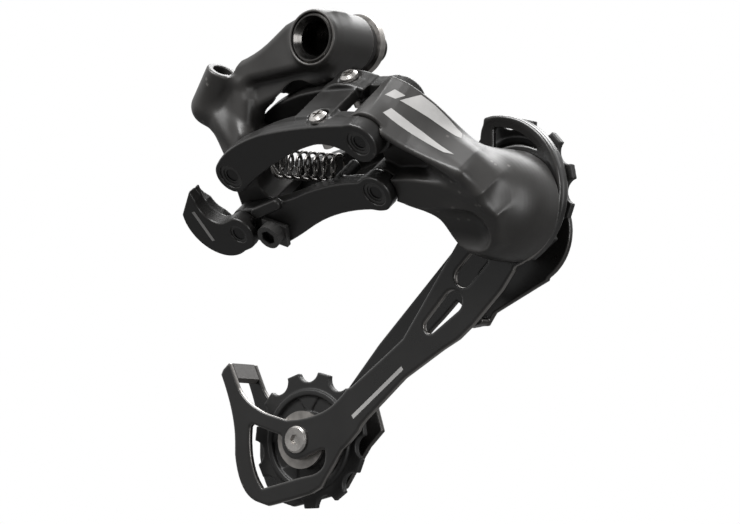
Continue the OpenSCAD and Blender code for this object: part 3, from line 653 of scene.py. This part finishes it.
LOWER = (bez(LL + (2, -5.4), (14, 13.4), (26, 11.6)) + bez((26, 11.6), (40, 10.4), LR + (-3.6, -4.8))
         + [LR + (1, 5.9)] + bez(LR + (-2, 5.6), (36, 19.4), (20, 23.6))
         + bez((20, 23.6), (12, 25.8), (5, 27))
         + [(0, 25.4), LL + (0, 5.8)])
LOWER_WEB = (bez((3.4, 26.8), (20, 25.4), (30, 21.6)) + bez((30, 21.6), (38, 20.2), (44.6, 20.6))
             + [(44.2, 18.4)] + bez((40, 17.6), (30, 18), (16, 21.4)) + [(5.6, 24)])
CLAMP = (6, 21)
SPRING_POST = (38.5, 12.4)


def lower_link(p):
    """Two plates joined by a web, with the spring's post and a stop bar for the cable."""
    q = slanted(p)
    x, y, z = q[..., 0], q[..., 1], q[..., 2]
    side = join(outline(x, y, LOWER), np.hypot(x - LL[0], y - LL[1]) - 5.8)
    side = join(side, np.hypot(x - LR[0], y - LR[1]) - 6, 1.5)
    solid = prism(side, z, *PLATE_NEAR, 0.7)
    solid = join(solid, prism(side, z, *PLATE_FAR, 0.7))
    solid = join(solid, prism(outline(x, y, LOWER_WEB), z, 4, 23.6, 0.5), 1)
    solid = join(solid, rod(q, (*SPRING_POST, 0), PINS, 2, 3, 13), 0.8)
    stop_bar = prism(outline(x, y, bar((2.6, 13.6), 1.7, (13, 12.4), 1.69)), z, -2.4, 0, 0.5)
    solid = join(solid, stop_bar, 0.6)
    for pivot in (LL, LR):
        solid = cut(solid, rod(q, (*pivot, 0), PINS, LINK_EYE_R, -2, 30, 0), 0.25)
    return cut(solid, rod(q, (*CLAMP, 0), PINS, 2.5, -3, 9, 0))


FIN_C = (-12.4, 11.4)
FIN_R = 13.2
GROOVE_R = 1.3     # for the cable, round the rear edge
FIN_TIP = (-15.7, -0.7)
FIN_SPIKE = (-14.4, -1.2)
FIN_FRONT = ([FIN_TIP] + arc(FIN_C, FIN_R, -157, -290, 30) + arc(LL, 6, 75, -75, 16)
             + arc((-9.2, 5.6), 7, 95, 200, 16))
FIN_REAR = ([FIN_SPIKE, (-19.3, 1.5)] + arc(FIN_C, FIN_R, -148, -258, 26) + arc(LL, 6.4, 136, 206, 8)
            + arc((-9.2, 5.6), 7, 128, 200, 10))


def cable_fin(p):
    """The fin that guides the cable, on the rear pin of the lower link."""
    q = slanted(p)
    x, y, z = q[..., 0], q[..., 1], q[..., 2]
    solid = prism(outline(x, y, FIN_FRONT), z, -5.6, -0.65, 0.6)
    solid = join(solid, prism(outline(x, y, FIN_REAR), z, -2, 2, 0.5), 0.3)
    groove = np.hypot(np.hypot(x - FIN_C[0], y - FIN_C[1]) - FIN_R - 0.3, z + 1.8) - GROOVE_R
    solid = cut(solid, groove, 0.3)
    # room for the rear eye of the upper link, seen from the lower link while both swing
    for turn in range(10, 50, 10):
        c, k = math.cos(math.radians(turn)), math.sin(math.radians(turn))
        ux, uy = LL[0] - LL[0] * c - LL[1] * k, LL[1] + LL[0] * k - LL[1] * c
        solid = cut(solid, prism(np.hypot(x - ux, y - uy) - 6.3, z, -0.95, 4, 0.1), 0.2)
    return cut(solid, rod(q, (*LL, 0), PINS, 3.05, -9, 5, 0), 0.2)


# ---------------------------------------------------------------- cage
RING_C, RING_R = np.array([49.5, -49.2]), 24      # the ring round the guide pulley
RING_LEFT = [(20, -20), (43.9, -20), (43.9, -32), (39, -38), (37, -62), (28, -80), (10, -80)]
CRESCENT_R, HOUSING_R = 20.4, 19                  # limits of the gap between ring and housing
RIM_R, RIM_HALF = 22.9, 1.1
RIM_MIDDLE, RIM_SPAN = 0.34, 1.42                 # where the rim runs, in radians
ARM_DIR = (TENSION_XZ - GUIDE_XZ) / np.linalg.norm(TENSION_XZ - GUIDE_XZ)
TAIL = (bez((-7, -107.8), (-15, -116.6), (-31, -116.7), 8)
        + bez((-38.7, -114.6), (-47.4, -111.4), (-50.6, -106), 8) + [(-54.4, -97.6), (-57, -99.8)]
        + bez((-57.8, -101.4), (-52.2, -114), (-52.1, -123), 8)
        + bez((-52.1, -127.3), (-50.4, -140.4), (-42.6, -142.6), 10)
        + bez((-38.6, -143.8), (-32, -142.6), (-21.6, -140.3), 6)
        + bez((-17.4, -138.2), (-14.2, -133.4), (-8.3, -125.4), 8) + [(-3, -120.5)])
WINDOW = (bez((-45.8, -118.4), (-46.8, -129), (-42.8, -135.6), 8)
          + bez((-41, -138.2), (-36, -137.2), (-26, -135), 6)
          + bez((-21, -134.2), (-14.8, -132.6), (-16, -126.4), 6) + [(-22, -124), (-33.5, -121.4)]
          + bez((-37.1, -120.3), (-41.8, -118.7), (-44.8, -117.6), 4))
BOSS_WEB = [(-24, -128.6), (-15, -125.6), (-14, -118), (-30, -118)]
CAGE_ARM = [(38.8, -36), (36.4, -62), (14.3, -92.6), (5.8, -98.8), (-6.8, -107.7), (-17, -117.5),
            (-8.3, -125.4), (0.2, -117.2), (15, -104.9), (29.6, -96.5), (35.6, -93.5), (41, -89.3),
            (51.8, -79), (56.2, -73.3), (60, -60)]
INNER_ARM = [(43, -42), (38, -56), (25, -64.2), (-4.4, -93), (-17, -107), (-24, -117), (-20, -129),
             (-12, -118), (-2, -107.5), (8, -97), (16.3, -89.1), (20.3, -85.8), (26, -80.6), (29, -83),
             (31, -87.5), (37.4, -88.8), (40.2, -84.9), (60, -75.6)]
UPPER_SLOT = (40.6, -71.4)
HEAD_C, HEAD_R = (52, -60.5), 16.5     # round head of the inner plate
BOLT_R = 2.5


def upper_slot(x, z):
    """The slot next to the knuckle, through both plates."""
    half = ARM_DIR * 4.1
    return outline(x, z, bar(UPPER_SLOT - half, 3.4, UPPER_SLOT + half, 3.39))


def lower_slot(x, z):
    """The slot that narrows toward the tail, in the outer plate alone."""
    return outline(x, z, bar((33.4, -81.8), 3.6, (24.8, -89), 2.4))


def tail_window(x, z):
    """The opening round the tension pulley, less the boss of its bolt."""
    boss = join(np.hypot(x - TENSION_XZ[0], z - TENSION_XZ[1]) - 6.3, outline(x, z, BOSS_WEB), 1)
    return cut(outline(x, z, WINDOW), boss, 1.0)


def cage_outer(p):
    """The outer plate: ring with a raised rim, arm with two slots, and tail."""
    x, y, z = p[..., 0], p[..., 1], p[..., 2]
    ring_r = np.hypot(x - RING_C[0], z - RING_C[1])
    hub_r = np.hypot(x - PIVOT_XZ[0], z - PIVOT_XZ[1])
    ring = cut(ring_r - RING_R, outline(x, z, RING_LEFT), 6)
    flat = join(ring, outline(x, z, CAGE_ARM), 0.5)
    flat = join(flat, outline(x, z, TAIL), 2)
    crescent = meet(ring_r - CRESCENT_R, HOUSING_R - hub_r, 1)
    crescent = meet(crescent, np.maximum(48.9 - x, -53 - z), 1)
    holes = join(join(tail_window(x, z), join(upper_slot(x, z), lower_slot(x, z))), crescent)
    flat = cut(flat, holes, 0.3)
    plate = prism(flat, y, *OUTER_Y, 0.55)
    angle = np.arctan2(z - RING_C[1], x - RING_C[0])
    span = (np.abs(angle - RIM_MIDDLE) - RIM_SPAN) * ring_r
    rim = prism(meet(np.abs(ring_r - RIM_R) - RIM_HALF, span, 1), y, 2.6, 7.4, 0.5)
    solid = join(plate, rim, 0.8)
    solid = cut(solid, rod(p, CAGE_PIVOT, INBOARD, 5, -3, 9, 0))
    for c in (GUIDE_XZ, TENSION_XZ):
        solid = cut(solid, rod(p, (c[0], 0, c[1]), INBOARD, BOLT_R, 0, 9, 0))
    return solid


def cage_inner(p):
    """The inner plate: round head, arm with a rest tab, and tail."""
    x, y, z = p[..., 0], p[..., 1], p[..., 2]
    head = np.hypot(x - HEAD_C[0], z - HEAD_C[1]) - HEAD_R
    flat = join(head, outline(x, z, bar(GUIDE_XZ, 10.5, HEAD_C, HEAD_R)))
    flat = join(join(flat, outline(x, z, INNER_ARM), 1), outline(x, z, TAIL), 2)
    flat = cut(flat, join(tail_window(x, z), upper_slot(x, z)), 0.3)
    solid = prism(flat, y, *INNER_Y, 0.5)
    tab = prism(outline(x, z, bar((32.4, -88.1), 1.2, (37.2, -87.4), 1.19)), y, 11.6, 16.4, 0.4)
    solid = join(solid, tab, 0.6)
    for c in (GUIDE_XZ, TENSION_XZ):
        solid = cut(solid, rod(p, (c[0], 0, c[1]), INBOARD, BOLT_R, 10, 20, 0))
    return solid


# ---------------------------------------------------------------- pulleys
TEETH = 11
CHAIN_PITCH = 12.7
PITCH_R = CHAIN_PITCH / (2 * math.sin(math.pi / TEETH))
TIP_R = PITCH_R - 1.15
ROLLER_R = 4.05
BAND_R, HUB_R, SLEEVE_R = 15.2, 8.6, 4.05
POCKETS, POCKET_R, WEB_HALF = 5, 11.6, 0.7


def tooth_outline(phase):
    """Roller seats with flat-topped teeth between them."""
    half_seat = math.acos((PITCH_R - TIP_R) / ROLLER_R)
    pts = []
    for i in range(TEETH):
        a = math.radians(phase + i * 360 / TEETH)
        radial, around = np.array([math.cos(a), math.sin(a)]), np.array([-math.sin(a), math.cos(a)])
        for b in np.linspace(-half_seat, half_seat, 11):
            pts.append(radial * (PITCH_R - ROLLER_R * math.cos(b)) + around * ROLLER_R * math.sin(b))
    return pts


def pulley(centre, phase):
    """The distance function of a pulley. The phase is the angle of its first roller seat, in degrees."""
    teeth = tooth_outline(phase)
    pockets = np.radians(phase + (np.arange(POCKETS) + 0.5) * 360 / POCKETS)

    def solid(p):
        x, z, y = p[..., 0] - centre[0], p[..., 2] - centre[2], p[..., 1] - centre[1]
        r, angle = np.hypot(x, z), np.arctan2(z, x)
        d = prism(outline(x, z, teeth), y, -1.1, 1.1, 0.25)
        d = join(d, prism(np.abs(r - BAND_R) - 0.9, y, -1.9, 1.9, 0.4), 0.8)
        d = join(d, prism(r - HUB_R, y, -4, 4, 0.5), 1.2)
        for a in pockets:
            across = np.abs((angle - a + math.pi) % (2 * math.pi) - math.pi) * r - 4.8
            pocket = meet(np.abs(r - POCKET_R) - 2.5, across, 1.2)
            d = cut(d, meet(pocket, WEB_HALF - np.abs(y)), 0.3)
        return cut(d, prism(r - SLEEVE_R, y, -6, 6, 0))

    return solid


# ---------------------------------------------------------------- springs
def tube(name, path, r, sides=12):
    """A round wire along a path of points."""
    path = np.array(path)
    tangent = np.gradient(path, axis=0)
    tangent /= np.linalg.norm(tangent, axis=1)[:, None]
    side = np.cross(tangent, np.array([0.13, 0.21, 0.97]))
    side /= np.linalg.norm(side, axis=1)[:, None]
    for i in range(1, len(path)):
        side[i] = side[i - 1] - tangent[i] * (side[i - 1] @ tangent[i])
        side[i] /= np.linalg.norm(side[i])
    up = np.cross(side, tangent)
    a = np.linspace(0, 2 * math.pi, sides, endpoint=False)
    ring = np.cos(a)[None, :, None] * side[:, None] + np.sin(a)[None, :, None] * up[:, None]
    points = (path[:, None] + r * ring).reshape(-1, 3)
    faces = []
    for i in range(len(path) - 1):
        for j in range(sides):
            k = (j + 1) % sides
            faces.append((i * sides + j, i * sides + k, (i + 1) * sides + k, (i + 1) * sides + j))
    faces.append(tuple(range(sides - 1, -1, -1)))
    faces.append(tuple((len(path) - 1) * sides + j for j in range(sides)))
    return new_mesh(name, points, faces)


SPRING_LEVEL = 10.9     # along the pins


def return_spring():
    """The coil between the links, with a short lead at each end."""
    a, b = np.array([5.6, 3.5, SPRING_LEVEL]), np.array([38.5, 12.8, SPRING_LEVEL])
    turns, steps, r, lead_in, lead_out = 8, 32, 4.3, 2.4, 3.9
    length = np.linalg.norm(b - a)
    d = (b - a) / length
    across = np.array([-d[1], d[0], 0])
    coil = []
    for i in range(turns * steps + 1):
        t, turn = i / (turns * steps), 2 * math.pi * i / steps
        centre = a + d * (lead_in + t * (length - lead_in - lead_out))
        coil.append(centre + across * r * math.cos(turn) + np.array(PINS) * r * math.sin(turn))
    lead = smooth_path([a - d * 0.4, a + d * 0.8, a + d * 1.8 + across * 2.6, coil[0]], 6)[:-1]
    tail = smooth_path([coil[-1], b - d * 3 + across * 2.6, b - d * 2 + across * 0.8, b - d * 0.8], 6)[1:]
    path = np.vstack([lead, coil, tail])
    return tube("return_coil", path @ SLANT.T + UPPER_REAR, 0.5)


def cage_spring():
    """The torsion coil round the cage shaft."""
    turns, steps, r, start, rise = 4, 32, 10.6, -8, 8.2
    path = []
    for i in range(turns * steps + 1):
        a = 2 * math.pi * i / steps
        path.append((CAGE_PIVOT[0] + r * math.cos(a), start + rise * i / (turns * steps),
                     CAGE_PIVOT[2] + r * math.sin(a)))
    return tube("cage_coil", path, 0.9)


# ---------------------------------------------------------------- printed panels
def panel(name, corners, solid, body):
    """A thin plain panel that lies on a piece. The corners run anticlockwise, seen from outside."""
    lift, start, step, layers = 0.05, 3, 0.8, 8
    corners = np.array(corners, float)
    centre = corners.mean(0)
    u = corners[1] - corners[0]
    u /= np.linalg.norm(u)
    normal = sum(np.cross(a - centre, b - centre) for a, b in zip(corners, np.roll(corners, -1, 0)))
    normal /= np.linalg.norm(normal)
    u -= normal * (u @ normal)
    u /= np.linalg.norm(u)
    w = np.cross(normal, u)
    flat = np.stack([(corners - centre) @ u, (corners - centre) @ w], 1)
    ring = []
    for a, b in zip(flat, np.roll(flat, -1, 0)):
        n = max(1, int(np.linalg.norm(b - a) / step))
        ring += [a + (b - a) * i / n for i in range(n)]
    ring = np.array(ring)
    points = [np.zeros(2)]
    for k in range(1, layers + 1):
        points += list(ring * k / layers)
    m = len(ring)
    faces = []
    for j in range(m):
        faces.append((0, 1 + j, 1 + (j + 1) % m))
        for k in range(layers - 1):
            p0, p1 = 1 + k * m, 1 + (k + 1) * m
            faces.append((p0 + j, p1 + j, p1 + (j + 1) % m, p0 + (j + 1) % m))
    points = np.array(points)
    place = centre + points[:, :1] * u + points[:, 1:] * w + normal * start
    for _ in range(40):
        place = place - normal * (solid(place.astype(np.float32)) - lift)[:, None] * 0.7
    obj = new_mesh(name, place, faces)
    obj.data.materials.append(PRINT)
    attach(obj, body)


def plain_panels():
    """Plain shapes where a maker would print a name."""
    small = [at(65.3, -7, 14.6), at(67.9, -4.6, 15), at(69.7, -3.6, 17.6), at(66.9, -6.5, 17.7)]
    large = [at(68.9, -3.6, 15.3), at(75, 4.8, 16.2), at(80.3, 13.2, 16.5), at(81.4, 14.6, 17),
             at(81.2, 13.6, 19.2), at(78.3, 8.6, 20.4), at(75.4, 3, 20.8), at(72.4, -1.2, 20.8)]
    stripe = [at(66.2, -3.4, 9), at(70, 0.8, 8.4), at(82.4, 12.9, 7.4), at(84.2, 15.6, 8.6),
              at(76, 6, 10.6), at(68, -3.6, 11.6)]
    panel("panel_small", small, p_knuckle, "p_knuckle")
    panel("panel_large", large, p_knuckle, "p_knuckle")
    panel("panel_stripe", stripe, p_knuckle, "p_knuckle")
    arm_stripe = [(-4.6, 2.5, -117), (14.8, 2.5, -102.2), (14, 2.5, -101.1), (-5.3, 2.5, -115.9)]
    fin_stripe = [at(-19.6, 6.2, -5.6), at(-18.7, 17.6, -5.6), at(-17.4, 17.6, -5.6), at(-18.2, 6.2, -5.6)]
    panel("arm_stripe", arm_stripe, cage_outer, "cage")
    panel("fin_stripe", fin_stripe, cable_fin, "lower_link")


# ---------------------------------------------------------------- make the pieces
carve("knuckle_lower_casting", p_knuckle, "p_knuckle", "p_knuckle", CAST)
carve("knuckle_upper_casting", b_knuckle, "b_knuckle", "b_knuckle", CAST)
carve("upper_link_casting", upper_link, "upper_link", "upper_link", LINKS, 0.38)
carve("lower_link_casting", lower_link, "lower_link", "lower_link", LINKS, 0.38)
carve("fin_moulding", cable_fin, "cable_fin", "lower_link", LINKS, 0.32)
carve("cage_outer_pressing", cage_outer, "cage_outer_plate", "cage", CAGE, 0.4)
carve("cage_inner_pressing", cage_inner, "cage_inner_plate", "cage", CAGE_BACK)
carve("guide_pulley_moulding", pulley(GUIDE, 93.4), "guide_pulley", "guide_pulley", PLASTIC,
      0.35)
carve("tension_pulley_moulding", pulley(TENSION, 91.1), "tension_pulley", "tension_pulley", PLASTIC,
      0.35)

coil = return_spring()
coil.data.materials.append(WIRE)
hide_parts("return_spring")
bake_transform(coil)
inner_coil = cage_spring()
inner_coil.data.materials.append(WIRE)
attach(inner_coil, "p_knuckle")
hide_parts("cage_spring")
plain_panels()


def finish_node(node, material, bevel=0.0):
    """Gives a CAD node its material, and rounds its edges by a bevel in millimetres."""
    obj = frame["nodes"][node]
    obj.data.materials.clear()
    obj.data.materials.append(material)
    if bevel:
        mod = obj.modifiers.new("edge", "BEVEL")
        mod.width = bevel * MM
        mod.segments = 2
        mod.limit_method = "ANGLE"
        mod.angle_limit = math.radians(40)
        mod.harden_normals = True


for node, material, bevel in (
        ("hanger_bolt", ALLOY, 0.0), ("hanger_washer", DULL, 0.2), ("seal_ring", PLASTIC, 0.2),
        ("b_bushing", BRONZE, 0.0), ("b_adjust_screw", STEEL, 0.0),
        ("pin_upper_rear", BLACKENED, 0.15), ("pin_lower_rear", BLACKENED, 0.15),
        ("pin_upper_front", BLACKENED, 0.15), ("pin_lower_front", BLACKENED, 0.15),
        ("upper_link_bushes", BLACKENED, 0.1), ("lower_link_bushes", BLACKENED, 0.1),
        ("limit_screw_high", STEEL, 0.1), ("limit_screw_low", STEEL, 0.1),
        ("clamp_plate", BLACKENED, 0.15), ("clamp_bolt", BLACKENED, 0.2),
        ("p_bushing", BRONZE, 0.0), ("p_seal_ring", PLASTIC, 0.0), ("cage_stop_pin", STEEL, 0.1),
        ("cage_shaft", STEEL, 0.1), ("cage_tie", CAGE, 0.3), ("pulley_bolts", STEEL, 0.15),
        ("pulley_sleeves", BRONZE, 0.0), ("dust_caps", DULL, 0.15)):
    finish_node(node, material, bevel)


# ---------------------------------------------------------------- studio
LOWEST, HIGHEST = (np.array(v) for v in cad_box)
CENTRE = (LOWEST + HIGHEST) / 2
AZIMUTH, ELEVATION, DISTANCE = math.radians(36.5), math.radians(-4.6), 1.3
AIM = np.array([15.8, -16.3, -69.9]) * MM
LENS_MM, SENSOR_MM = 205.5, 36
FLOOR_HALF, FLOOR_DROP = 3.0, 0.16
BACK = np.array([math.sin(AZIMUTH) * math.cos(ELEVATION), -math.cos(AZIMUTH) * math.cos(ELEVATION),
                 math.sin(ELEVATION)])
RIGHT = np.array([math.cos(AZIMUTH), math.sin(AZIMUTH), 0])
UP = np.cross(BACK, RIGHT)


def softbox(name, place, size, power):
    """A soft rectangular light that faces the object."""
    data = bpy.data.lights.new(name, "AREA")
    data.shape = "RECTANGLE"
    data.size, data.size_y = size
    data.energy = power
    obj = bpy.data.objects.new(name, data)
    bpy.context.scene.collection.objects.link(obj)
    obj.location = place
    obj.rotation_euler = Vector(CENTRE - np.array(place)).to_track_quat("-Z", "Y").to_euler()
    obj.visible_camera = False


def studio_world():
    """White to the camera. As light, bright above and behind the object and dim on its camera side."""
    world = bpy.data.worlds.new("studio")
    bpy.context.scene.world = world
    world.use_nodes = True
    nodes, links = world.node_tree.nodes, world.node_tree.links
    nodes.clear()
    output = nodes.new("ShaderNodeOutputWorld")
    seen = nodes.new("ShaderNodeBackground")
    seen.inputs["Color"].default_value = (1, 1, 1, 1)
    lit = nodes.new("ShaderNodeBackground")
    place = nodes.new("ShaderNodeTexCoord")
    toward = nodes.new("ShaderNodeVectorMath")
    toward.operation = "DOT_PRODUCT"
    dim = BACK + 0.3 * RIGHT + np.array([0, 0, -0.6])
    toward.inputs[1].default_value = tuple(dim / np.linalg.norm(dim))
    links.new(place.outputs["Generated"], toward.inputs[0])
    span = nodes.new("ShaderNodeMapRange")
    span.inputs["From Min"].default_value = -1
    span.inputs["From Max"].default_value = 1
    links.new(toward.outputs["Value"], span.inputs["Value"])
    shades = [(0.3, grey(0.85)), (0.5, grey(0.42)), (0.66, grey(0.13)), (0.9, grey(0.08))]
    links.new(ramp(nodes, links, span.outputs["Result"], shades), lit.inputs["Color"])
    ray = nodes.new("ShaderNodeLightPath")
    mix = nodes.new("ShaderNodeMixShader")
    links.new(ray.outputs["Is Camera Ray"], mix.inputs[0])
    links.new(lit.outputs[0], mix.inputs[1])
    links.new(seen.outputs[0], mix.inputs[2])
    links.new(mix.outputs[0], output.inputs["Surface"])


def studio_floor():
    """A pale floor below the object, dim as light so that the undersides stay dark."""
    half, z = FLOOR_HALF, LOWEST[2] - FLOOR_DROP
    corners = [(-half, -half, z), (half, -half, z), (half, half, z), (-half, half, z)]
    mesh = bpy.data.meshes.new("floor")
    mesh.from_pydata(corners, [], [(0, 1, 2, 3)])
    floor = bpy.data.objects.new("floor", mesh)
    bpy.context.scene.collection.objects.link(floor)
    mat, nodes, links, bsdf = node_material("floor_pale")
    ray = nodes.new("ShaderNodeLightPath")
    tone = ramp(nodes, links, ray.outputs["Is Camera Ray"], [(0.0, grey(0.1)), (1.0, grey(0.8))])
    links.new(tone, bsdf.inputs["Base Color"])
    bsdf.inputs["Roughness"].default_value = 0.9
    mesh.materials.append(mat)


def studio_camera():
    """A long lens at the photograph's angle."""
    data = bpy.data.cameras.new("camera")
    data.sensor_width = SENSOR_MM
    data.lens = LENS_MM
    data.clip_start, data.clip_end = 0.05, 30
    camera = bpy.data.objects.new("camera", data)
    bpy.context.scene.collection.objects.link(camera)
    turn = Matrix([[RIGHT[i], UP[i], BACK[i]] for i in range(3)])
    camera.matrix_world = Matrix.Translation(AIM + DISTANCE * BACK) @ turn.to_4x4()
    bpy.context.scene.camera = camera


softbox("top_left", CENTRE + 0.3 * BACK + 0.75 * UP - 0.4 * RIGHT, (0.6, 0.4), 13)
softbox("top_back", CENTRE - 0.55 * BACK + 0.6 * UP + 0.2 * RIGHT, (0.7, 0.5), 8)
softbox("side", CENTRE + 0.75 * BACK + 0.2 * UP + 0.7 * RIGHT, (0.5, 0.6), 7)
studio_world()
studio_floor()
studio_camera()
bpy.context.scene.view_settings.view_transform = "Standard"
